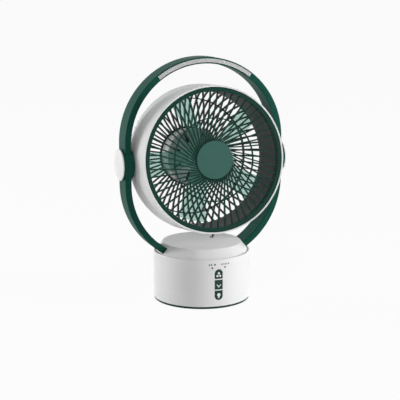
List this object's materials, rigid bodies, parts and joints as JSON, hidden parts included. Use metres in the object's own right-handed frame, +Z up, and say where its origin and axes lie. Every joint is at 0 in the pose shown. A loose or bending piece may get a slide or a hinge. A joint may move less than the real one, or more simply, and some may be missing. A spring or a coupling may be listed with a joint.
{
  "type": "rechargeable portable fan",
  "caption": "Cordless table fan: a round drum head with swirl grilles tilts in a ring handle with a lamp strip, which swings on a cylindrical battery base with push buttons.",
  "frame": {"origin": "centre of the base's underside, on the surface that the fan stands on", "axes": "+Z up, -Y the way the fan blows, +X to the right seen from the front"},
  "size_m": [0.2598, 0.1447, 0.3642],
  "materials": {
    "white_shell": "fine satin white",
    "green_shell": "satin dark green",
    "green_key": "satin dark green",
    "dark_basket": "matt charcoal",
    "motor_grey": "matt grey",
    "teal_blade": "translucent teal",
    "lamp_milk": "milky diffuser",
    "lens_clear": "light pipe",
    "foot_rubber": "matt rubber",
    "steel": "zinc plated",
    "bearing_plastic": "bare acetal",
    "circuit_board": "solder mask",
    "cell_wrap": "shrink wrap"
  },
  "bodies": {
    "base": {"base_shell": "white_shell", "base_plate": "green_shell", "rubber_feet": "foot_rubber", "base_screws": "steel", "battery_tray": "dark_basket", "battery_cells": "cell_wrap", "control_board": "circuit_board", "tact_switches": "circuit_board", "indicator_lenses": "lens_clear", "charge_socket": "steel", "swing_motor": "steel", "swing_screws": "steel", "glide_ring": "bearing_plastic"},
    "light_button": {"light_button": "green_key"},
    "swing_button": {"swing_button": "green_key"},
    "fan_button": {"fan_button": "green_key"},
    "pinion": {"swing_pinion": "bearing_plastic"},
    "turret": {"swing_gear": "bearing_plastic", "spindle_nut": "bearing_plastic", "turret_plate": "bearing_plastic", "turret_cap": "white_shell", "arm_screws": "steel", "ring_front": "green_shell", "ring_rear": "green_shell", "lamp_diffuser": "lamp_milk", "lamp_board": "circuit_board", "pivot_bush_right": "bearing_plastic", "pivot_bush_left": "bearing_plastic", "pivot_cap_right": "white_shell", "pivot_cap_left": "white_shell"},
    "head": {"drum_housing": "white_shell", "front_grille": "green_shell", "hub_cap": "green_shell", "grille_latch": "dark_basket", "air_duct": "dark_basket", "rear_grille": "dark_basket", "rear_screws": "steel", "motor_cup": "motor_grey", "fan_motor": "steel", "motor_screws": "steel", "rear_cover": "dark_basket", "pivot_stub_right": "steel", "pivot_stub_left": "steel", "pivot_washers": "steel", "pivot_screws": "steel"},
    "fan": {"fan_wheel": "teal_blade", "motor_shaft": "steel", "spinner_nut": "motor_grey"}
  },
  "joints": [
    {"name": "turret_swing", "type": "hinge", "parent": "base", "child": "turret", "pos_m": [0, 0, 0.075], "axis": [0, 0, 1], "range_deg": [-45, 45]},
    {"name": "pinion_turn", "type": "hinge", "parent": "base", "child": "pinion", "pos_m": [0, 0.02572, 0.055], "axis": [0, 0, 1], "range_deg": [-140, 140]},
    {"name": "head_tilt", "type": "hinge", "parent": "turret", "child": "head", "pos_m": [0, 0, 0.21022], "axis": [-1, 0, 0], "range_deg": [-35, 85]},
    {"name": "fan_spin", "type": "hinge", "parent": "head", "child": "fan", "pos_m": [0, 0.00032, 0.2136], "axis": [0, -0.9956, 0.0941], "continuous": true},
    {"name": "light_button_press", "type": "slide", "parent": "base", "child": "light_button", "axis": [0, 1, 0], "range_m": [0, 0.0006], "stiffness_N_per_m": 1500},
    {"name": "swing_button_press", "type": "slide", "parent": "base", "child": "swing_button", "axis": [0, 1, 0], "range_m": [0, 0.0006], "stiffness_N_per_m": 1500},
    {"name": "fan_button_press", "type": "slide", "parent": "base", "child": "fan_button", "axis": [0, 1, 0], "range_m": [0, 0.0006], "stiffness_N_per_m": 1500}
  ],
  "couplings": [
    {"joint": "pinion_turn", "follows": "turret_swing", "ratio": -3}
  ]
}
